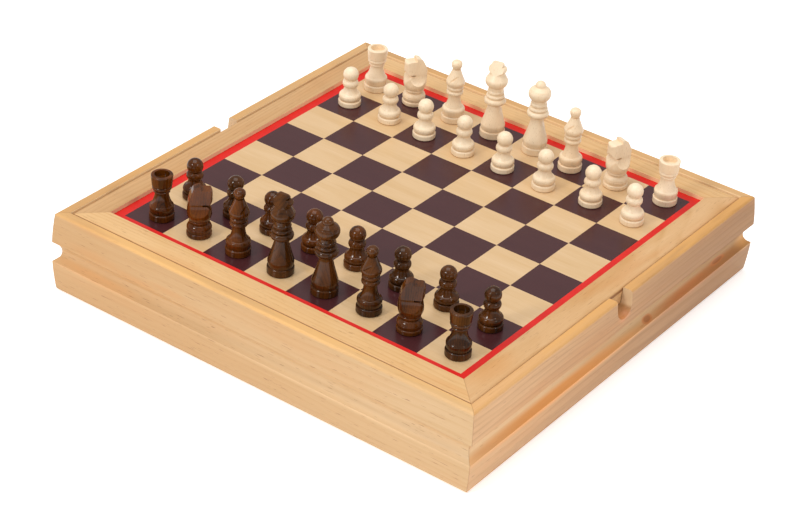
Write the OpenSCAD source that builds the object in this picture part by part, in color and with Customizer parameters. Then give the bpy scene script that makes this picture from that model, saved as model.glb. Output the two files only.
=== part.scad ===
// Chess box: a mitred pine box whose lid is a framed, lift-out chessboard, with its 32 chessmen.
// Millimetres, +Z up, origin at the middle of the underside. The front looks towards -Y.

/* [Playing field] */
// Side of one square
square_w = 30; // [26:1:38]
// Width of the red line around the field
line_w = 6; // [4:0.5:7]
// How far the red line covers the outer squares
line_lap = 1; // [0.5:0.5:2]
// Thickness of the inlaid squares and line
inlay_t = 0.6; // [0.4:0.1:1]

/* [Playing board] */
// Width of a frame rail, from the red line to its outer edge
rail_w = 15.6; // [14:0.2:20]
// Thickness of the frame at its inner edge
rail_h = 10; // [9:0.5:12]
// Thickness of the board panel, without the squares and line on it
panel_t = 5.4; // [4.4:0.1:5.8]
// Depth of the playing surface below the frame
panel_drop = 2.6; // [1.5:0.1:2.8]
// Tongue of the panel inside the rails
panel_tongue = 4; // [3:0.5:5]
// Flat inner part of a rail, before its outer part falls away
rail_flat = 7.6; // [6:0.2:9]
// Fall of the outer part of a rail
rail_fall = 0.3; // [0.1:0.1:0.6]
// Radius of the outer edge of a rail
rail_round = 2; // [1:0.25:3]
// Gap between the frame and the box rim, on each side
board_gap = 0.4; // [0.3:0.1:0.8]

/* [Box] */
// Height of the box
box_h = 52; // [48:1:70]
// Width of the rim around the board, at the top edge
rim_w = 6.1; // [5:0.1:8]
// Width of the ledge that carries the board
ledge_w = 6.9; // [5:0.1:9]
// Height of the rim above the edge of the board frame
rim_rise = 0.25; // [0:0.05:0.5]
// How far the side boards swell at mid-height
side_swell = 1.65; // [0.5:0.05:2.5]
// Radius of the cove that runs around the box
cove_r = 7.1; // [5:0.1:9]
// Depth of the cove
cove_depth = 4.2; // [2:0.1:5]
// Radius of the outer edges of the side boards
edge_r = 1.5; // [1:0.25:2.5]
// Radius of the inner edge of the rim
rim_ease = 0.5; // [0.25:0.05:0.75]
// Thickness of the bottom panel
bottom_t = 4; // [3:0.5:6]
// Height of the bottom panel above the underside
bottom_lift = 3; // [2:0.5:6]
// Depth of the groove that holds the bottom panel
bottom_groove = 4; // [3:0.5:5]
// Width of the finger notches
notch_w = 15.2; // [12:0.2:20]
// Depth of the finger notches below the rim
notch_depth = 14; // [11:0.5:18]

/* [Chessmen] */
// Radius of a pawn's foot
pawn_r = 7.2; // [6:0.1:8]
// Radius of the foot of a rook, knight or bishop
officer_r = 7.4; // [6.5:0.1:8.5]
// Radius of the foot of a king or queen
royal_r = 7.85; // [7:0.05:9]
// Height of a pawn
pawn_h = 25.9; // [23:0.1:30]
// Height of a rook
rook_h = 29; // [26:0.1:34]
// Height of a knight
knight_h = 32.2; // [29:0.1:37]
// Height of a bishop
bishop_h = 41.5; // [38:0.1:46]
// Height of a queen
queen_h = 48.6; // [44:0.1:54]
// Height of a king
king_h = 50.9; // [46:0.1:57]
// Width of the saw cut in a bishop's mitre and under a knight's jaw
saw_w = 1.1; // [0.8:0.1:1.6]

/* [Hidden] */
$fn = 96;
big = 400;
field_half = 4 * square_w;
line_in = field_half - line_lap;
line_out = line_in + line_w;
rail_out = line_out + rail_w;
rim_in = rail_out + board_gap;
box_half = rim_in + rim_w;
side_in = rim_in - ledge_w;
side_mid = box_half + side_swell;
swell_r = (pow(box_h / 2, 2) + pow(side_swell, 2)) / (2 * side_swell);
rail_top = box_h - rim_rise;
ledge_z = rail_top - rail_h;
field_z = rail_top - panel_drop;
inlay_z = field_z - inlay_t;
panel_z = inlay_z - panel_t;
notch_r = notch_w / 2;

pine = "#e6bd87";
pale_veneer = "#e8c592";
plywood = "#d9b37c";
aubergine = "#604647";
line_red = "#d84a41";
walnut = "#4f2f16";
maple = "#ecd3b0";

// The order of the men along a back row, from file a to file h
files = "abcdefgh";
back_row = ["rook", "knight", "bishop", "king", "queen", "bishop", "knight", "rook"];
army_name = ["dark", "light"];
army_colour = [walnut, maple];
// Row that each army's officers and pawns stand on
officer_row = [0, 7];
pawn_row = [1, 6];
// Where each man stands off the middle of its square, file a to file h, as [x, y]
officer_shift = [
    [[2.8, -1.1], [0.8, -0.7], [-0.3, -0.7], [0.2, -0.3],
     [1.4, -0.2], [1.2, 1.3], [-1.2, 1.2], [2.4, -0.4]],
    [[-1, -1.2], [-1.9, 0.3], [-0.8, -0.5], [-1.2, 0.1],
     [-0.4, 1.4], [-2.2, -1.8], [-0.3, -0.3], [2.2, 3.7]]];
pawn_shift = [
    [[1.9, -1.1], [2.3, -0.6], [-1, 0.3], [-1.3, 1.3],
     [-2, 3], [-0.3, 2.9], [0, 3.9], [0.3, 3.1]],
    [[-0.6, 1], [0.7, 1], [-1.3, -0.5], [-1.5, -1.1],
     [-2.1, -0.9], [-1.6, -1.9], [-0.2, 1.5], [-0.3, 0.2]]];
// Which way the front of each officer is turned
officer_turn = [
    [0, 42, -3, -87, 0, -67, 34, 0],
    [0, -122, -53, -78, 0, -69, -110, 0]];

function man_name(army, file) = str(army_name[army], "_", back_row[file], "_", files[file]);
function pawn_name(army, file) = str(army_name[army], "_pawn_", files[file]);

// ---- Mouldings: a section in x (outwards) and z, run along one side and mitred at both ends ----

// The quarter of a corner that a round edge of radius r takes away; r > 0, corner towards +x, sign * z
module corner_waste(r, sign) {
    difference() {
        translate([0, sign > 0 ? 0 : -2 * r]) square(2 * r);
        circle(r);
    }
}

// Section of a side board: swollen outer face with a cove, rebate for the board, groove for the bottom
module side_section() {
    top_round_x = box_half - edge_r + 2 * side_swell * edge_r * 2 / box_h;
    difference() {
        intersection() {
            translate([side_in, 0]) square([side_mid, box_h]);
            translate([side_mid - swell_r, box_h / 2]) circle(swell_r, $fn = 720);
        }
        translate([side_in - 1, ledge_z]) square([ledge_w + 1, big]);
        translate([side_in - 1, bottom_lift]) square([bottom_groove + 1, bottom_t]);
        translate([side_mid - cove_depth + cove_r, box_h / 2]) circle(cove_r);
        translate([top_round_x, box_h - edge_r]) corner_waste(edge_r, 1);
        translate([top_round_x, edge_r]) corner_waste(edge_r, -1);
        translate([rim_in + rim_ease, box_h - rim_ease]) mirror([1, 0]) corner_waste(rim_ease, 1);
    }
}

// Section of a frame rail: flat inner part, falling outer part with a round edge, groove for the panel
module rail_section() {
    edge_x = rail_out - rail_round;
    edge_z = rail_top - rail_fall - rail_round;
    difference() {
        union() {
            polygon([
                [line_out, ledge_z],
                [rail_out, ledge_z],
                [rail_out, edge_z],
                [edge_x, edge_z],
                [edge_x, edge_z + rail_round],
                [line_out + rail_flat, rail_top],
                [line_out, rail_top]]);
            translate([edge_x, edge_z]) circle(rail_round);
        }
        translate([line_out - 1, panel_z]) square([panel_tongue + 1, panel_t]);
    }
}

// Runs the section in children() along the side that faces quarter turn q, from mitre to mitre
module mitred(q) {
    rotate(90 * q) intersection() {
        translate([0, big / 2, 0]) rotate([90, 0, 0]) linear_extrude(big) children();
        translate([0, 0, -1]) linear_extrude(big)
            polygon([[0, 0], [big / 2, -big / 2], [big / 2, big / 2]]);
    }
}

// U-shaped notch for a finger, cut through the side that faces +x
module finger_notch() {
    translate([side_in - 1, 0, box_h - notch_depth + notch_r]) {
        rotate([0, 90, 0]) cylinder(h = big, r = notch_r);
        translate([0, -notch_r, 0]) cube([big, notch_w, big]);
    }
}

module side_plain(q) {
    color(pine) mitred(q) side_section();
}

module side_notched(q) {
    color(pine) difference() {
        mitred(q) side_section();
        rotate(90 * q) finger_notch();
    }
}

module side_front() { side_plain(-1); }
module side_back() { side_plain(1); }
module side_right() { side_notched(0); }
module side_left() { side_notched(2); }

module bottom_panel() {
    half = side_in + bottom_groove;
    color(plywood) translate([-half, -half, bottom_lift]) cube([2 * half, 2 * half, bottom_t]);
}

module rail(q) {
    color(pine) mitred(q) rail_section();
}

module rail_front() { rail(-1); }
module rail_back() { rail(1); }
module rail_right() { rail(0); }
module rail_left() { rail(2); }

// ---- Board panel, and the squares and line laid on it ----

// The squares of one colour, light = 0 or 1; the outer ones are trimmed by the red line
module squares_pattern(light) {
    intersection() {
        square(2 * line_in, center = true);
        for (i = [0:7], j = [0:7])
            if ((i + j) % 2 == light) translate([(i - 4) * square_w, (j - 4) * square_w]) square(square_w);
    }
}

module board_panel() {
    half = line_out + panel_tongue;
    color(plywood) translate([-half, -half, panel_z]) cube([2 * half, 2 * half, panel_t]);
}

module light_squares() {
    color(pale_veneer) translate([0, 0, inlay_z]) linear_extrude(inlay_t) squares_pattern(1);
}

module dark_squares() {
    color(aubergine) translate([0, 0, inlay_z]) linear_extrude(inlay_t) squares_pattern(0);
}

module red_line() {
    color(line_red) translate([0, 0, inlay_z]) linear_extrude(inlay_t) difference() {
        square(2 * line_out, center = true);
        square(2 * line_in, center = true);
    }
}

// ---- Turned shapes: half sections, x is the radius and y the height ----
// Feet are measured up from the underside and heads down from the top, and the stem between
// them takes up the man's height.

// Disc of radius r from z0 to z1 with both rims rounded by e
module disc(r, z0, z1, e) {
    translate([0, z0]) square([r - e, z1 - z0]);
    translate([0, z0 + e]) square([r, z1 - z0 - 2 * e]);
    translate([r - e, z0 + e]) circle(e);
    translate([r - e, z1 - e]) circle(e);
}

// Half-round bead of radius r at its widest, h high, centred at height z
module bead(r, z, h) {
    translate([0, z - h / 2]) square([r - h / 2, h]);
    intersection() {
        translate([r - h / 2, z]) circle(h / 2);
        translate([0, z - h / 2]) square([r, h]);
    }
}

module cone(r0, z0, r1, z1) {
    polygon([[0, z0], [r0, z0], [r1, z1], [0, z1]]);
}

module ball(r, z) {
    intersection() {
        translate([0, z]) circle(r);
        translate([0, z - r]) square(2 * r);
    }
}

// Bulging band, widest r at height z, that closes on an arc of radius up_r to z_top above and on
// one of radius down_r to z_low below, around a plain core
module bulb(r, z, up_r, z_top, down_r, z_low, core_r) {
    translate([0, z_low]) square([core_r, z_top - z_low]);
    intersection() {
        translate([r - up_r, z]) circle(up_r, $fn = 180);
        translate([0, z]) square([r, z_top - z]);
    }
    intersection() {
        translate([r - down_r, z]) circle(down_r, $fn = 180);
        translate([0, z_low]) square([r, z - z_low]);
    }
}

// Tapering stem from radius r0 at z0 to r1 at z1, its side hollowed by this much on an arc
module stem(r0, z0, r1, z1, hollow) {
    run = [r1 - r0, z1 - z0];
    half_chord = norm(run) / 2;
    arc_r = (pow(half_chord, 2) + pow(hollow, 2)) / (2 * hollow);
    side = [run[1], -run[0]] / norm(run);
    middle = [(r0 + r1) / 2, (z0 + z1) / 2];
    difference() {
        cone(r0, z0, r1, z1);
        translate(middle + side * (arc_r - hollow)) circle(arc_r, $fn = 360);
    }
}

// Fine line cut by the point of the tool where the surface has radius r at height z
module scribed(r, z) {
    line_r = 0.3;
    line_depth = 0.18;
    difference() {
        children();
        translate([r - line_depth + line_r, z]) circle(line_r, $fn = 24);
    }
}

// Foot shared by rook and bishop: base, round shoulder, and a stem that narrows from stem_r to neck_r
// at height z
module officer_foot(stem_r, neck_r, z, hollow) {
    base_h = 4.3;
    base_round = 0.8;
    shoulder_r = officer_r - 0.25;
    shoulder_z = 7.9;
    shoulder_h = 9.9;
    stem_low = 9.5;
    scribed(officer_r - 0.9, base_h) {
        disc(officer_r, 0, base_h, base_round);
        bulb(shoulder_r, shoulder_z, shoulder_h - shoulder_z, shoulder_h, 10, base_h - base_round, neck_r);
    }
    stem(stem_r, stem_low, neck_r, z, hollow);
}

// Foot shared by king and queen: its stem narrows to neck_r and runs on parallel up to height z
module royal_foot(z, parallel) {
    base_h = 4.9;
    base_round = 0.8;
    shoulder_r = royal_r - 0.25;
    shoulder_z = 8;
    shoulder_h = 10.8;
    stem_low = 9.3;
    neck_r = 3.9;
    scribed(royal_r - 0.65, base_h) {
        disc(royal_r, 0, base_h, base_round);
        bulb(shoulder_r, shoulder_z, shoulder_h - shoulder_z, shoulder_h, 12, base_h - base_round, neck_r);
    }
    stem(royal_r - 0.5, stem_low, neck_r, z - parallel, 0.12);
    cone(neck_r, z - parallel, neck_r, z);
}

module pawn() {
    base_h = 3.9;
    shoulder_h = 8.7;
    head_r = 4.85;
    collar_r = 5.05;
    collar_h = 6;
    collar_z = -10.8;
    neck_r = 3.7;
    rotate_extrude() {
        disc(pawn_r, 0, base_h, 1);
        disc(pawn_r - 0.25, base_h - 0.2, shoulder_h, 2.3);
        stem(pawn_r - 1.6, shoulder_h - 0.3, neck_r, pawn_h + collar_z - collar_h / 2 + 0.8, 0.4);
        translate([0, pawn_h]) {
            bead(collar_r, collar_z, collar_h);
            ball(head_r, -head_r);
        }
    }
}

module rook() {
    cup_r = 4.4;
    cup_depth = 3.6;
    wall_r = 6.45;
    wall_low_r = 5.95;
    wall_low = -6.7;
    lip = 0.6;
    neck_r = 4.1;
    ring_r = 4.9;
    ring_z = -10.9;
    ring_h = 2;
    collar_r = 5.75;
    collar_z = -8.4;
    collar_h = 3.2;
    rotate_extrude() {
        officer_foot(officer_r - 1.1, neck_r, rook_h + ring_z - 1.9, 0.4);
        translate([0, rook_h]) difference() {
            union() {
                cone(neck_r, ring_z - 2, neck_r, ring_z);
                bead(ring_r, ring_z, ring_h);
                bead(collar_r, collar_z, collar_h);
                cone(wall_low_r - 0.5, wall_low - 0.4, wall_low_r, wall_low);
                cone(wall_low_r, wall_low, wall_r, -lip);
                disc(wall_r, -2 * lip - 0.4, 0, lip);
            }
            translate([-1, -cup_depth]) square([cup_r + 1, big]);
        }
    }
}

// The mitre is a turned pear under a small cap, with a slanting saw cut
module bishop(turn) {
    cap_r = 3.45;
    cap_z = -2.4;
    throat_r = 2.65;
    throat_z = -5.9;
    mitre_r = 5.9;
    mitre_z = -14.6;
    mitre_low = -17.2;
    collar_r = 5.15;
    collar_z = [-18.6, -21.8];
    collar_h = [3, 3.4];
    neck_r = 3.8;
    neck_z = bishop_h + collar_z[1] - collar_h[1] / 2;
    slash = [2.6, 9, saw_w];
    slash_angle = 38;
    slash_z = bishop_h - 10.3;
    slash_reach = 4;
    rotate(turn) difference() {
        rotate_extrude() {
            officer_foot(officer_r - 1.7, neck_r, neck_z - 1, 0.5);
            cone(neck_r, neck_z - 1, neck_r, neck_z + 1);
            translate([0, bishop_h]) {
                for (i = [0, 1]) bead(collar_r + 0.1 * i, collar_z[i], collar_h[i]);
                cone(collar_r - 0.9, collar_z[1], collar_r - 0.9, mitre_z);
                bulb(mitre_r, mitre_z, 3, mitre_z + 1.1, 3.6, mitre_low, throat_r);
                stem(mitre_r - 0.2, mitre_z + 1.1, throat_r, throat_z, 0.12);
                bulb(cap_r, cap_z, -cap_z, 0, 5, throat_z - 0.1, cap_r + cap_z);
            }
        }
        translate([slash_reach, 0, slash_z]) rotate([slash_angle, 0, 0])
            translate([0, -slash[1] / 2, -slash[2] / 2]) cube(slash);
    }
}

// Collar shared by king and queen: a wide bead and two narrow ones, the highest centred at height z
module royal_collar(z) {
    bead_r = [5.2, 5.75, 6.8];
    bead_z = [-0.3, -3.25, -6.55];
    bead_h = [3.4, 2.6, 4.2];
    core_r = 4.6;
    for (i = [0:2]) bead(bead_r[i], z + bead_z[i], bead_h[i]);
    cone(core_r, z + bead_z[2], core_r, z);
}

module queen() {
    ball_r = 3.3;
    ball_z = -3.3;
    cap_z = -3.7;
    head_r = 7.05;
    head_z = -8.4;
    head_low = -12.9;
    slope_z = -4.9;
    neck_r = 4.7;
    collar_z = -15.3;
    rotate_extrude() {
        royal_foot(queen_h + collar_z - 8.2, 3.4);
        translate([0, queen_h]) {
            royal_collar(collar_z);
            cone(neck_r, collar_z, neck_r, head_low + 1);
            scribed(6.33, -6)
                bulb(head_r, head_z, 4.2, slope_z, 5, head_low, neck_r);
            cone(5.1, slope_z - 0.1, ball_r + 0.2, cap_z);
            ball(ball_r, ball_z);
        }
    }
}

// The finial of a king is turned round and then cut flat on two sides, leaning in towards the top
module king(turn) {
    crown_r = 4;
    crown_h = 3.2;
    wide_r = 5.85;
    wide_z = -4.7;
    wide_h = 4.4;
    waist_r = 4.75;
    waist_z = -7.7;
    head_r = 7.1;
    head_z = -12.4;
    head_low = -17;
    slope_z = -11.1;
    neck_r = 4.75;
    collar_z = -19.7;
    flat_low = -7.8;
    flat_half = 4.6;
    flat_lean = 24;
    rotate(turn) difference() {
        rotate_extrude() {
            royal_foot(king_h + collar_z - 8.2, 1.5);
            translate([0, king_h]) {
                royal_collar(collar_z);
                cone(neck_r, collar_z, neck_r, head_low + 1);
                bulb(head_r, head_z, 2.5, slope_z, 5, head_low, neck_r);
                scribed(5.62, -8.8) cone(6.75, slope_z, waist_r, waist_z);
                cone(waist_r, waist_z, waist_r, wide_z);
                bead(wide_r, wide_z, wide_h);
                bead(crown_r, -crown_h / 2, crown_h);
            }
        }
        for (side = [0, 1])
            rotate(180 * side) translate([flat_half, -big / 2, king_h + flat_low])
                rotate([0, -flat_lean, 0]) cube([big, big, big]);
    }
}

// Side view of a knight's head, x forwards and y up, from height low
module knight_side(low) {
    back_r = 28;
    back_x = -7.2;
    back_z = knight_h - 15.2;
    muzzle_x = 7.2;
    muzzle_top = knight_h - 1.9;
    muzzle_round = 2.2;
    jaw_z = knight_h - 10.3;
    ear_x = 0.4;
    crown_r = 6;
    chest_r = 8.5;
    chest_x = 7.15;
    chest_z = (low + jaw_z) / 2 - 2.2;
    slit_end = 1.4;
    round_x = muzzle_x - muzzle_round;
    intersection() {
        translate([back_x + back_r, back_z]) circle(back_r, $fn = 360);
        difference() {
            union() {
                translate([back_x, jaw_z]) square([round_x - back_x, muzzle_top - jaw_z]);
                translate([round_x, jaw_z + muzzle_round])
                    square([muzzle_round, muzzle_top - jaw_z - 2 * muzzle_round]);
                for (z = [jaw_z + muzzle_round, muzzle_top - muzzle_round])
                    translate([round_x, z]) circle(muzzle_round);
                translate([back_x, low]) square([ear_x - back_x, knight_h - crown_r - low]);
                intersection() {
                    translate([ear_x, knight_h - crown_r]) circle(crown_r);
                    translate([back_x, knight_h - crown_r]) square([ear_x - back_x, crown_r]);
                }
                intersection() {
                    translate([chest_x - chest_r, chest_z]) circle(chest_r, $fn = 360);
                    translate([back_x, low]) square([big, jaw_z - low]);
                }
            }
            translate([slit_end, jaw_z - saw_w]) square([big, saw_w]);
        }
    }
}

// Front view of what is left between the cheeks of a knight; the flats run out in a cove at low
module knight_front(low) {
    cheek = 4.6;
    cheek_top = 3;
    run_out_r = 10;
    run_out_z = low + 10.8;
    difference() {
        translate([-big / 2, low]) square([big, knight_h]);
        for (side = [0, 1]) mirror([side, 0]) {
            polygon([
                [cheek, run_out_z],
                [big, run_out_z],
                [big, knight_h + 1],
                [cheek_top, knight_h + 1]]);
            translate([cheek + run_out_r, run_out_z]) circle(run_out_r);
        }
    }
}

// The blank is turned round, then cut to its outline from the side and flat on both cheeks
module knight(turn) {
    base_h = 3.2;
    shoulder_z = 5.3;
    shoulder_h = 8.9;
    ring_r = 6;
    ring_z = 10;
    ring_h = 2.3;
    head_low = ring_z + ring_h / 2 - 0.2;
    blank_r = 7.25;
    swell_r = 9;
    swell_z = head_low + 4.5;
    rotate(turn) {
        rotate_extrude() {
            disc(officer_r, 0, base_h, 1);
            scribed(officer_r - 0.17, shoulder_z + 0.5)
                bulb(officer_r - 0.15, shoulder_z, 3.6, shoulder_h, 6, base_h - 0.1, 3.7);
            cone(ring_r - 0.8, shoulder_h - 1, ring_r - 0.8, ring_z);
            bead(ring_r, ring_z, ring_h);
        }
        intersection() {
            rotate([90, 0, 0]) translate([0, 0, -big / 2]) linear_extrude(big) knight_side(head_low);
            rotate([90, 0, 90]) translate([0, 0, -big / 2]) linear_extrude(big) knight_front(head_low);
            rotate_extrude() {
                translate([0, swell_z]) square([blank_r, knight_h]);
                intersection() {
                    translate([blank_r - swell_r, swell_z]) circle(swell_r, $fn = 180);
                    translate([0, head_low]) square([blank_r, swell_z - head_low]);
                }
            }
        }
    }
}

// Stands children() on a square, shifted off its middle
module on_square(file, row, shift) {
    middle = [(file - 3.5) * square_w, (row - 3.5) * square_w];
    translate([middle[0] + shift[0], middle[1] + shift[1], field_z]) children();
}

// The officer that stands on a file of the back row
module officer(army, file) {
    turn = officer_turn[army][file];
    kind = back_row[file];
    color(army_colour[army]) on_square(file, officer_row[army], officer_shift[army][file]) {
        if (kind == "rook") rook();
        if (kind == "knight") knight(turn);
        if (kind == "bishop") bishop(turn);
        if (kind == "queen") queen();
        if (kind == "king") king(turn);
    }
}

module foot_soldier(army, file) {
    color(army_colour[army]) on_square(file, pawn_row[army], pawn_shift[army][file]) pawn();
}

side_front();
side_right();
side_back();
side_left();
bottom_panel();
rail_front();
rail_right();
rail_back();
rail_left();
board_panel();
light_squares();
dark_squares();
red_line();
for (army = [0, 1], file = [0:7]) {
    officer(army, file);
    foot_soldier(army, file);
}
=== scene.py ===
# %% [markdown]
# # A chess box, from bare wood to lacquer
#
# The box is a tray of four moulded pine boards. Its lid is a framed chessboard that lies in a
# rebate, and thirty-two turned men stand on it. Every piece is wood, so the shapes come from the
# lathe and the moulding plane, and what is left for this file is what wood looks like: rings,
# fibres, stain and lacquer. The lesson goes from the finished solids to the light they stand in.

# %% Load the pieces
import math

import bpy
import numpy as np
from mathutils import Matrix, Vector


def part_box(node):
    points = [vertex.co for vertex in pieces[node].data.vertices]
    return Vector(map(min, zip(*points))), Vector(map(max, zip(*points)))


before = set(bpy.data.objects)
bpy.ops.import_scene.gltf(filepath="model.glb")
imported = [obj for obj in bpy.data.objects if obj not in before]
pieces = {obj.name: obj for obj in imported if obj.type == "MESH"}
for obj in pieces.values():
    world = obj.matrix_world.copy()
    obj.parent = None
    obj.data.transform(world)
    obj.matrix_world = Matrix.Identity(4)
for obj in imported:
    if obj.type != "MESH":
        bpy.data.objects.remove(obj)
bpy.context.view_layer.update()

# %% [markdown]
# ## Sums on a surface
#
# A shader is arithmetic that runs at every point of a surface. Written with nodes alone it soon
# becomes a knot of wires, so a small class wraps a wire and lets Python's own signs add the Math
# nodes. Colours are kept apart from numbers, because a Math node would turn a colour grey.
# Colours are written as a screen shows them, and paint() turns them into amounts of light.

# %% A value that takes plus, minus and times
class Value:
    """A number that a material works out at every point. Its operators add Math nodes."""

    def __init__(self, finish, socket):
        self.finish, self.socket = finish, socket

    def sum(self, operation, *values):
        """What a Math node makes of the values."""
        return self.finish.node("ShaderNodeMath", {"operation": operation}, dict(enumerate(values)))

    def __add__(self, other): return self.sum("ADD", self, other)
    def __sub__(self, other): return self.sum("SUBTRACT", self, other)
    def __mul__(self, other): return self.sum("MULTIPLY", self, other)
    def __truediv__(self, other): return self.sum("DIVIDE", self, other)
    def __rsub__(self, other): return self.sum("SUBTRACT", other, self)
    __radd__, __rmul__ = __add__, __mul__

    def size(self):
        """The value without its sign."""
        return self.sum("ABSOLUTE", self)

    def clipped(self):
        """The value, held between 0 and 1."""
        return self.sum("MINIMUM", self.sum("MAXIMUM", self, 0.0), 1.0)

    def between(self, low, high):
        """0 at low, 1 at high, on an S-shaped curve, and flat outside."""
        steps = {"Value": self, "From Min": low, "From Max": high}
        return self.finish.node("ShaderNodeMapRange", {"interpolation_type": "SMOOTHSTEP"}, steps)


# %% A material under construction
class Finish:
    """A new material with one surface shader. node() adds any node and gives back what it puts out."""

    def __init__(self, name, **surface):
        self.material = bpy.data.materials.new(name)
        self.material.use_nodes = True
        self.tree = self.material.node_tree
        self.shader = self.tree.nodes["Principled BSDF"]
        self.set(**surface)
        self.place = self.node("ShaderNodeTexCoord", out="Object")

    def node(self, kind, settings=None, inputs=None, out=0):
        """A node of this kind: first its settings, then the values or links of its inputs."""
        made = self.tree.nodes.new(kind)
        for name, setting in (settings or {}).items():
            if name == "stops":
                ramp = made.color_ramp.elements
                while len(ramp) < len(setting):
                    ramp.new(0.5)
                for stop, (at, colour) in zip(ramp, setting):
                    stop.position, stop.color = at, colour
            else:
                setattr(made, name, setting)
        for name, value in (inputs or {}).items():
            self.plug(made.inputs[name], value)
        return Value(self, made.outputs[out])

    def plug(self, socket, value):
        """Links a value to the socket, or sets the socket to a plain number, point or colour."""
        if isinstance(value, Value):
            self.tree.links.new(value.socket, socket)
        else:
            socket.default_value = value

    def set(self, **surface):
        """Sets or links the shader's own sockets: base_color means Base Color."""
        for name, value in surface.items():
            self.plug(self.shader.inputs[name.replace("_", " ").title().replace("Ior", "IOR")], value)

    def mix(self, amount, first, second, mode="MIX"):
        """Colour that goes from first to second by amount."""
        settings = {"data_type": "RGBA", "blend_type": mode}
        return self.node("ShaderNodeMix", settings, {0: amount, 6: first, 7: second}, out=2)

    def noise(self, point, detail=2.0, roughness=0.5):
        """Soft random value around 0.5, one wave per unit of point."""
        return self.node("ShaderNodeTexNoise", {}, {"Vector": point, "Scale": 1.0, "Detail": detail,
                                                    "Roughness": roughness}, out="Fac")

    def turned(self, point, turn=(0, 0, 0), move=(0, 0, 0), stretch=(1, 1, 1)):
        """point, stretched, then turned, then moved."""
        return self.node("ShaderNodeMapping", {}, {"Vector": point, "Rotation": turn,
                                                   "Location": move, "Scale": stretch})

    def parts(self, point):
        """The three numbers of a point, as values."""
        split = self.tree.nodes.new("ShaderNodeSeparateXYZ")
        self.plug(split.inputs[0], point)
        return [Value(self, socket) for socket in split.outputs]

    def bump(self, height, depth):
        """Normal of a surface whose height rises by depth metres where height is 1."""
        self.set(normal=self.node("ShaderNodeBump", {}, {"Height": height, "Distance": depth}))


def paint(code):
    """The light that a screen colour such as "#e6bd87" stands for, as red, green, blue, 1."""
    parts = [int(code[i:i + 2], 16) / 255 for i in (1, 3, 5)]
    return tuple(p / 12.92 if p < 0.04045 else ((p + 0.055) / 1.055) ** 2.4 for p in parts) + (1.0,)


print("a screen's mid grey is", round(paint("#808080")[0], 3), "of white in light")

# %% [markdown]
# ## How a log becomes a pattern
#
# A tree lays down one ring a year: pale early wood, then a narrow dark band of late wood. A board
# is a slice of that stack of nested tubes, so the pattern needs no drawing. It is enough to ask,
# for a point of the board, how far it lies from the heart of the log. Noise that is stretched along
# the grain lets the rings wander, and finer stretched noise gives the fibres. A log that leans a
# little against the board makes the rings leave the surface, and that is where flames come from.

# %% Rings and fibres
def log_point(finish, lengthways, heart, along=0.0, lean=0.0):
    """Object coordinates turned so that x runs with the grain and the heart of the log is y = z = 0.

    lengthways is "x", "y" or "z", the way the grain runs on the piece, heart the place of the heart
    across it in metres, along a shift with the grain, and lean the angle between log and piece.
    """
    turn = {"x": (0, lean, 0), "y": (lean, 0, -math.pi / 2), "z": (lean, math.pi / 2, 0)}[lengthways]
    across = {"x": (heart[1], heart[2]), "y": (-heart[0], heart[2]), "z": (heart[1], -heart[0])}
    y, z = across[lengthways]
    return finish.turned(finish.place, turn, (along, -y, -z))


def rings(finish, point, width, wander, reach=(7, 45, 45), push=0.0):
    """0 in early wood to 1 in late wood, from the fraction of (distance to the heart / width).

    The distance gains wander times a slow noise, stretched along the grain by reach, and push,
    which is how a knot bends the rings around itself.
    """
    across = finish.node("ShaderNodeVectorMath", {"operation": "MULTIPLY"}, {0: point, 1: (0, 1, 1)})
    distance = finish.node("ShaderNodeVectorMath", {"operation": "LENGTH"}, {0: across}, out="Value")
    sway = finish.noise(finish.turned(point, stretch=reach), 2.0) - 0.5
    phase = (distance + sway * wander + push) / width
    year = phase.sum("FRACT", phase)
    stops = [(0.0, (0, 0, 0, 1)), (0.5, (0.2, 0.2, 0.2, 1)), (0.84, (1, 1, 1, 1)), (1.0, (0, 0, 0, 1))]
    return finish.node("ShaderNodeValToRGB", {"stops": stops}, {"Fac": year})


def fibres(finish, point, long=0.03, thin=0.0007, detail=3.0):
    """Noise whose spots are long metres with the grain and thin metres across it."""
    return finish.noise(finish.turned(point, stretch=(1 / long, 1 / thin, 1 / thin)), detail, 0.6)


def blot(finish, middle, reach, ragged=0.5):
    """1 at middle, fading to 0 at the ellipsoid of these half lengths, its edge ragged by noise."""
    near = finish.turned(finish.place, move=tuple(-m / r for m, r in zip(middle, reach)),
                         stretch=tuple(1 / r for r in reach))
    distance = finish.node("ShaderNodeVectorMath", {"operation": "LENGTH"}, {0: near}, out="Value")
    return 1.0 - (distance + (finish.noise(near, 2.0) - 0.5) * ragged).between(0.15, 1.0)


# %% [markdown]
# ## Pine boards
#
# The side boards and the frame rails are pine under a satin clear lacquer. A flat picture of wood
# could be wrapped around them, but it would stretch over the mouldings and break at the mitres. A
# pattern that fills space is cut by the cove and the notches just as real wood is. Each board comes
# from its own place in its own log, so each has its own heart, ring width and contrast. Its colour
# starts with rings, fibres, hairs and slow clouds, between one pale and one deep tone.

# %% The tones of pine
pale_pine, calm_pine, busy_pine = ("#dfb682", "#cb9b62"), ("#c49d70", "#b38653"), ("#dfb181", "#ac7b4a")
resin, ember, rust, brown = paint("#c8823f"), paint("#eba460"), paint("#c4763f"), paint("#84502a")
# The first tone is painted light in the shaded cove and a painted highlight on its lip; the second pales
# inner walls, as bare wood and as painted light.
painted_cove_light, bare_wood_and_light, end_grain = paint("#f0cd9e"), paint("#ffe3b6"), paint("#dcbd96")
print("late wood of a pale board, in light:", [round(part, 3) for part in paint(pale_pine[1])[:3]])


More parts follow.
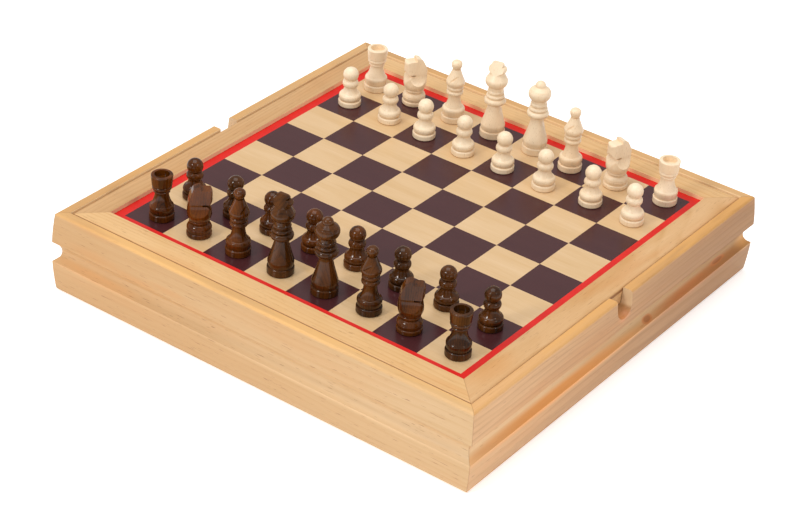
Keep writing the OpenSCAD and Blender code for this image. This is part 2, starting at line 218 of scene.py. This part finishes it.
# %% The figure of a board
def figure(wood, point, width, bold, push):
    """The rings, their slow unevenness, the fibres, and the lateness of the wood from 0 to 1.

    Lateness is ring * uneven * bold, plus fibres, hairs and clouds, each taken around its middle.
    """
    ring = rings(wood, point, width, width * 5.0, (5, 26, 26), push)
    uneven = wood.noise(wood.turned(point, stretch=(5, 90, 90)), 2.0).between(0.3, 0.7)
    fine = fibres(wood, point)
    hair = fibres(wood, point, 0.05, 0.0003, 1.0)
    cloud = wood.noise(wood.turned(point, stretch=(6, 60, 60)), 3.0, 0.6)
    late = ring * (uneven * 0.9 + 0.35) * bold + (fine - 0.5) * 0.5 + (hair - 0.5) * 0.35
    return ring, uneven, fine, (late + (cloud - 0.5) * 0.9 + (0.35 - bold * 0.4)).clipped()


# %% [markdown]
# ## Marks of growth
#
# Resin gathers in warm patches and in short dark dashes with the grain. A knot is the foot of a
# branch: the rings bend around it, and it is darker. The cove of the right board laid open an
# orange streak from end to end, with two small knots. Such a mark has its own place on one board,
# so it is not left to chance: it is a blot, an ellipsoid with a ragged edge, broken by the grain.

# %% Resin, blots and knots
def marks(wood, colour, point, uneven, knot, patch, dash, blots):
    """colour with warm patches, resin dashes, blots (middle, reach, strength, colour) and knots."""
    warm = wood.noise(wood.turned(point, stretch=(9, 55, 55)), 3.0).between(0.5, 0.75)
    colour = wood.mix(warm * patch, colour, resin)
    streak = fibres(wood, point, 0.008, 0.0005, 1.0).between(0.66, 0.77)
    colour = wood.mix(streak * dash, colour, brown)
    for middle, reach, strength, hue in blots:
        colour = wood.mix(blot(wood, middle, reach) * (uneven * 0.55 + 0.6) * strength, colour, hue)
    if knot:
        colour = wood.mix(knot.between(0.05, 0.5) * 0.7, colour, rust)
        colour = wood.mix(knot.between(0.5, 0.85) * 0.45, colour, brown)
    return colour


# %% [markdown]
# ## Where a board was cut, and where light and shade are painted
#
# A cut across the fibres, as in the finger notches, leaves paler end grain. The inner walls are
# painted paler: bare wood inside the box, and painted light on the frame's inner walls, which lie in
# shade. The cove is painted paler too, as painted light in its shaded hollow. The top edge of a side
# board has gone warmer and is worn in places. At each mitre a hairline of glue shows, and on the
# front and the right a painted shadow, a dark line, lies in the crevice between the frame and the
# rim. All of these follow from where a point is and which way its surface looks, so one set of
# measures places them.

# %% Paler walls, painted crevice shadow and end grain
half_length = 0.14  # metres, as all of these are: from the middle of a board to its full tint
cove_z, cove_light_fade = 0.0228, (0.0012, 0.0062)  # height of the cove, and where its painted light ends
rim_z, crevice_shadow_z = (0.0497, 0.0517), (0.0485, 0.0495)  # heights between which each one sets in
rim_wall, rail_wall, wall_fade = 0.1412, 0.13, 0.001  # an inner wall stands no further out
crevice_shadow_width, glue_fade = 0.0006, (0.0001, 0.0004)


def walls(wood, colour, place, lengthways, wall, crevice_shadow):
    """colour with paler inner walls, a painted crevice shadow and pale end grain.

    wall and crevice_shadow are distances from the middle of the box, across the grain. An inner wall
    lies nearer than wall and looks sideways; it is painted paler, as bare wood inside the box and as
    painted light on the frame's shaded inner walls. Where crevice_shadow is 0, the board has no
    painted shadow line.
    """
    x, y, z = place
    look_x, look_y, look_z = wood.parts(wood.node("ShaderNodeTexCoord", out="Normal"))
    across, sideways, endways = (y, look_y, look_x) if lengthways == "x" else (x, look_x, look_y)
    # Painted paler inner walls: bare wood inside the box, and painted light on the frame's shaded inner
    # walls.
    inside = (1.0 - across.size().between(wall, wall + wall_fade)) * sideways.size().between(0.5, 0.95)
    colour = wood.mix(inside * 0.75, colour, bare_wood_and_light)
    if crevice_shadow:
        # Painted shadow: a dark line along the crevice between frame and rim, painted onto the rail.
        edge = across.size().between(crevice_shadow, crevice_shadow + crevice_shadow_width) * z.between(*crevice_shadow_z)
        colour = wood.mix(edge * 0.85, colour, brown)
    return wood.mix(endways.size().between(0.8, 0.97) * 0.75, colour, end_grain)


print("cove at", round(cove_z * 1000, 1), "mm, warm rim from", round(rim_z[0] * 1000, 1), "mm")


# %% Pine, one board at a time
def pine(name, lengthways, heart, along, tones=pale_pine, width=0.003, bold=0.25, lean=0.01,
         patch=0.2, dash=0.3, blots=(), knots=(), rim=0.0, rim_tone="#e2aa64", cove_light_amount=0.0,
         far=(1, 1, 1, 1), crevice_shadow=0.0):
    """Lacquered pine between two tones.

    width is the distance between rings, bold their contrast, patch the strength of warm slow
    patches and dash that of short resin streaks. blots are (middle, reach, strength, colour), knots
    (middle, reach). rim is how much rim_tone there is on the top edge of a side board,
    cove_light_amount how much painted light pales the shaded cove, and far the tint of the board at
    its far end. crevice_shadow is where the painted shadow line on the outer edge of a frame rail
    starts, or 0 for no line.
    """
    wood = Finish(name, coat_weight=0.1, coat_roughness=0.24, specular_ior_level=0.16)
    point = log_point(wood, lengthways, heart, along, lean)
    knot = sum(blot(wood, *spot, 0.2) for spot in knots)
    ring, uneven, fine, late = figure(wood, point, width, bold, knot * 0.006)
    colour = wood.mix(late, paint(tones[0]), paint(tones[1]))
    x, y, z = wood.parts(wood.place)
    # Painted light: the shaded hollow of the cove is painted paler.
    if cove_light_amount:
        colour = wood.mix((1.0 - (z - cove_z).size().between(*cove_light_fade)) * cove_light_amount, colour, painted_cove_light)
    end = (x if lengthways == "x" else y).between(-half_length, half_length)
    colour = wood.mix(end, colour, wood.mix(1.0, colour, far, "MULTIPLY"))
    colour = marks(wood, colour, point, uneven, knot, patch, dash, blots)
    if rim:
        worn = wood.noise(wood.turned(point, stretch=(14, 120, 120)), 3.0).between(0.3, 0.65)
        colour = wood.mix(z.between(*rim_z) * (worn * 0.6 + 0.4) * rim, colour, paint(rim_tone))
    colour = walls(wood, colour, (x, y, z), lengthways, rim_wall if cove_light_amount else rail_wall, crevice_shadow)
    glue = 1.0 - (x.size() - y.size()).size().between(*glue_fade)
    wood.set(base_color=wood.mix(glue * 0.4, colour, brown), roughness=0.36 + ring * 0.06)
    wood.bump(fine * 0.6 + ring * 0.4 - glue, 0.00003)
    return wood.material


def dress(name, material):
    """Gives a carried-over piece its finish."""
    slots = pieces[name].data.materials
    slots.clear()
    slots.append(material)


# %% The marks of the front and the right board, with a painted highlight on the front cove
front_blots = [
    ((-0.115, -0.148, 0.036), (0.03, 0.008, 0.005), 0.3, resin),
    ((-0.085, -0.148, 0.0335), (0.022, 0.008, 0.004), 0.35, resin),
    ((-0.06, -0.148, 0.037), (0.02, 0.008, 0.003), 0.3, resin),
    ((-0.12, -0.148, 0.051), (0.03, 0.008, 0.004), 0.35, resin),
    ((-0.12, -0.147, 0.0205), (0.05, 0.012, 0.004), 0.3, ember),
    # painted highlight along the lower lip of the front cove
    ((0.07, -0.147, 0.0203), (0.12, 0.012, 0.0026), 0.4, painted_cove_light)]
right_blots = [
    ((0.1465, -0.075, 0.0203), (0.02, 0.15, 0.0046), 0.95, ember),
    ((0.1465, 0.075, 0.0205), (0.02, 0.06, 0.0048), 0.9, rust),
    ((0.1465, 0.118, 0.0207), (0.02, 0.04, 0.0052), 0.7, paint("#b0703c")),
    ((0.1465, 0.144, 0.0225), (0.02, 0.014, 0.007), 0.7, paint("#e2a560")),
    ((0.148, 0, 0.0405), (0.012, 0.008, 0.006), 0.85, paint("#df905d"))]
right_knots = [
    ((0.1463, 0.0308, 0.0213), (0.006, 0.007, 0.003)),
    ((0.1455, 0.112, 0.0225), (0.006, 0.012, 0.0022))]
rail_blots = [((0.131, -0.108, 0.0515), (0.011, 0.03, 0.008), 0.6, paint("#d08c45"))]
print("blots:", len(front_blots + right_blots + rail_blots), "knots:", len(right_knots))

# %% Eight boards
# Side boards carry painted light in their coves; the front and right rails a painted shadow line.
calm_side = dict(tones=calm_pine, bold=0.35, rim=0.5, cove_light_amount=0.2, far=(1.1, 1.18, 1.3, 1))
boards = {
    "side_front": dict(lengthways="x", heart=(0, -0.16, -0.13), along=0.4, tones=calm_pine,
                       width=0.0042, bold=0.24, patch=0.15, dash=0.7, blots=front_blots,
                       rim=0.7, rim_tone="#ebb772", cove_light_amount=0.22, far=(1.14, 1.27, 1.48, 1)),
    "side_right": dict(lengthways="y", heart=(0.235, 0, -0.03), along=1.1, tones=busy_pine,
                       width=0.0027, bold=0.24, lean=0.014, patch=0.35, dash=0.4, blots=right_blots,
                       knots=right_knots, rim=0.8, cove_light_amount=0.7, far=(0.56, 0.46, 0.32, 1)),
    "side_back": dict(lengthways="x", heart=(0, 0.2, 0.01), along=1.8, **calm_side),
    "side_left": dict(lengthways="y", heart=(-0.2, 0, 0.07), along=2.5, **calm_side),
    "rail_front": dict(lengthways="x", heart=(0, -0.21, 0.0), along=3.1, width=0.0022, bold=0.45,
                       patch=0.35, dash=0.6, crevice_shadow=0.1393),
    "rail_right": dict(lengthways="y", heart=(0.12, 0, -0.03), along=4.0, width=0.0024, bold=0.45,
                       lean=0.04, tones=("#dab182", "#c2925a"), patch=0.4, dash=0.5,
                       blots=rail_blots, crevice_shadow=0.1399),
    "rail_back": dict(lengthways="x", heart=(0, 0.2, -0.02), along=4.9, width=0.0024, bold=0.4, dash=0.5),
    "rail_left": dict(lengthways="y", heart=(-0.2, 0, 0.0), along=5.8, width=0.0024, bold=0.45, dash=0.5,
                      tones=("#cea474", "#b78a5a"))}
for name, recipe in boards.items():
    dress(name, pine("pine_" + name, **recipe))
print("pine boards:", len(boards))

# %% [markdown]
# ## Plywood panels
#
# The bottom and the board panel are thin plywood. The bottom shows when the board is lifted out,
# and the panel only from below. The face of plywood is peeled from the log like paper from a roll,
# so the rings are cut almost along themselves and lie in wide, wavy flames. The same rings do for
# it as for the boards, with their heart far below the panel. It has no lacquer.

# %% Plywood
def plywood(name, along):
    """Peeled face veneer: rings around a heart far below, so that they spread into flames."""
    wood = Finish(name, roughness=0.62)
    point = log_point(wood, "x", (0.0, 0.03, -0.32), along)
    ring = rings(wood, point, 0.0016, 0.02, (3, 12, 12))
    fine = fibres(wood, point, 0.02, 0.0006)
    colour = wood.mix(ring * 0.5 + fine * 0.3, paint("#d2ab78"), paint("#a97c4a"))
    wood.set(base_color=colour)
    wood.bump(fine, 0.00004)
    return wood.material


dress("bottom_panel", plywood("plywood_bottom", 0.2))
dress("board_panel", plywood("plywood_panel", 1.4))
print("plywood panels: 2")

# %% [markdown]
# ## The playing field
#
# The light squares are pale veneer whose grain runs from side to side over the whole field. The
# dark squares are stained an aubergine brown and the line around them bright red. They could be
# drawn as a chequer in one material, but each is a solid of its own, so each gets its own stain
# and the edges stay sharp. Satin lacquer lies over the squares, and the dark ones show it most:
# they mirror the men's feet. The line is duller.

# %% Squares and line
def veneer(name, pale, deep, contrast, along, rough=0.24):
    """Lacquered veneer between a pale and a deep colour.

    The share of the deep one is half, plus contrast times faint rings, fibres and slow clouds.
    """
    wood = Finish(name, ior=1.42)
    point = log_point(wood, "x", (0.0, -0.4, 0.25), along)
    ring = rings(wood, point, 0.0036, 0.016, (4, 26, 26))
    fine = fibres(wood, point, 0.022, 0.0006)
    cloud = wood.noise(wood.turned(point, stretch=(14, 90, 90)), 3.0)
    amount = ((ring - 0.35) * 0.1 + (fine - 0.5) * 1.2 + (cloud - 0.5) * 2.2) * contrast + 0.5
    wood.set(base_color=wood.mix(amount.clipped(), pale, deep), roughness=fine * 0.03 + rough)
    wood.bump(fine, 0.000005)
    return wood.material


dress("light_squares", veneer("pale_veneer", paint("#e1c199"), paint("#cba46f"), 0.45, 0.0))
dress("dark_squares", veneer("aubergine_veneer", paint("#4a2527"), paint("#401e20"), 0.35, 0.7))
dress("red_line", veneer("red_line", paint("#dc1f15"), paint("#cc150d"), 0.8, 1.9, 0.5))
print("field finishes: 3")

# %% [markdown]
# ## The men
#
# A man is turned from a square stick, so the grain stands upright and the rings come to the surface
# as tall ovals where the lathe cut across them. Each stick came from another part of the log, so
# each man gets a heart of its own beside its axis, and took up the stain in its own way. The dark
# men are walnut brown under a glossy lacquer; the light ones are pale wood under a satin one. One
# material for all would make them look like casts of one man, so each gets a draw from one seed.

# %% Turned men
chance = np.random.default_rng(32)


def man_wood(name, tones, spot, contrast, shine):
    """Upright grain for the man called name, its heart a few millimetres to centimetres aside.

    tones are four colours: pale and deep of one stick, pale and deep of another. Each man's two
    colours lie at one random share between them. spot is the colour of the pores.
    """
    low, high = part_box(name)
    middle = (low + high) / 2
    way, aside, along = chance.uniform(0, 2 * math.pi), chance.uniform(0.008, 0.03), chance.uniform(0, 9)
    heart = middle + Vector((math.cos(way), math.sin(way), 0)) * aside
    share = chance.uniform(0, 1)
    pale, deep = (tuple((1 - share) * a + share * b for a, b in zip(paint(tones[i]), paint(tones[i + 2])))
                  for i in (0, 1))
    wood = Finish(name + "_wood", **shine)
    point = log_point(wood, "z", heart, along, chance.uniform(-0.06, 0.06))
    ring = rings(wood, point, 0.0014, 0.006, (16, 90, 90))
    fine = fibres(wood, point, 0.006, 0.00045)
    cloud = wood.noise(wood.turned(point, stretch=(30, 110, 110)), 2.0).between(0.35, 0.7)
    amount = ring * 0.22 + (fine - 0.5) * 0.6 + cloud * 0.55 + 0.12
    colour = wood.mix((amount * contrast).clipped(), pale, deep)
    pore = fibres(wood, point, 0.004, 0.0004, 1.0).between(0.62, 0.74)
    wood.set(base_color=wood.mix(pore * 0.6, colour, paint(spot)))
    wood.bump(fine, 0.00002)
    return wood.material


# %% Two armies
armies = {
    "dark": dict(tones=("#713908", "#160700", "#5a330f", "#140802"), spot="#120804", contrast=1.0,
                 shine=dict(roughness=0.4, specular_ior_level=0.0, coat_weight=0.7, coat_ior=1.44,
                            coat_roughness=0.12)),
    "light": dict(tones=("#f9e4c4", "#ecca9f", "#f9e0be", "#e6c396"), spot="#c9a878", contrast=0.55,
                  shine=dict(roughness=0.42, coat_weight=0.25, coat_roughness=0.25))}
men = sorted(n for n in pieces if n.split("_")[0] in armies and not n.endswith("_squares"))
for name in men:
    dress(name, man_wood(name, **armies[name.split("_")[0]]))
print("men:", len(men))

# %% [markdown]
# ## Floor, light and camera
#
# The set stands on a white sheet in very soft light. Lamps alone would leave hard shadows, so a
# white world lights every side and the sheet glows a little. A wide lamp hangs overhead, and two
# smaller ones, to the left and the right of the camera, give the highlights on the polished men.

# %% Floor
def floor(half=6.0):
    """A square sheet of white paper just below height 0: x and y are the grid's two parameters."""
    u, v = np.meshgrid(np.linspace(-half, half, 3), np.linspace(-half, half, 3))
    points = np.stack([u.ravel(), v.ravel(), np.full(u.size, -0.0002)], 1)
    faces = [(r * 3 + c, r * 3 + c + 1, r * 3 + c + 4, r * 3 + c + 3) for r in (0, 1) for c in (0, 1)]
    mesh = bpy.data.meshes.new("floor")
    mesh.from_pydata(points.tolist(), [], faces)
    sheet = bpy.data.objects.new("floor", mesh)
    bpy.context.scene.collection.objects.link(sheet)
    paper = Finish("white_paper", roughness=0.9, emission_color=(1, 1, 1, 1), emission_strength=0.4)
    tooth = paper.noise(paper.turned(paper.place, stretch=(60, 60, 60)), 4.0)
    paper.set(base_color=paper.mix(tooth, (0.96, 0.96, 0.96, 1), (0.98, 0.98, 0.98, 1)))
    mesh.materials.append(paper.material)
    return sheet


print("floor:", floor().name)

# %% Light
def lamp(name, where, size, power, aim=Vector((0, 0, 0.04))):
    """A square soft lamp at where that faces aim."""
    light = bpy.data.lights.new(name, "AREA")
    light.size, light.energy = size, power
    holder = bpy.data.objects.new(name, light)
    holder.location = where
    holder.rotation_euler = (aim - Vector(where)).to_track_quat("-Z", "Y").to_euler()
    bpy.context.scene.collection.objects.link(holder)


world = bpy.data.worlds.new("white_room")
world.use_nodes = True
world.node_tree.nodes["Background"].inputs["Color"].default_value = (1, 1, 1, 1)
world.node_tree.nodes["Background"].inputs["Strength"].default_value = 0.55
bpy.context.scene.world = world
lamp("lamp_top", (-0.2, -0.1, 1.6), 1.3, 14.0)
lamp("lamp_left", (-0.36, -1.36, 0.95), 0.32, 8.0)
lamp("lamp_right", (1.44, -0.19, 1.1), 0.2, 3.0)
bpy.context.scene.view_settings.view_transform = "Standard"
print("lights:", [light.name for light in bpy.data.lights])

# %% Camera
view = bpy.data.cameras.new("camera")
view.lens, view.sensor_width, view.clip_end = 106.9245, 36.0, 50.0
camera = bpy.data.objects.new("camera", view)
camera.location, camera.rotation_euler = (0.6709, -0.9912, 0.7688), (1.0065, -0.0614, 0.6383)
bpy.context.scene.collection.objects.link(camera)
bpy.context.scene.camera = camera
print("camera stands", round(camera.location.length, 3), "m away")
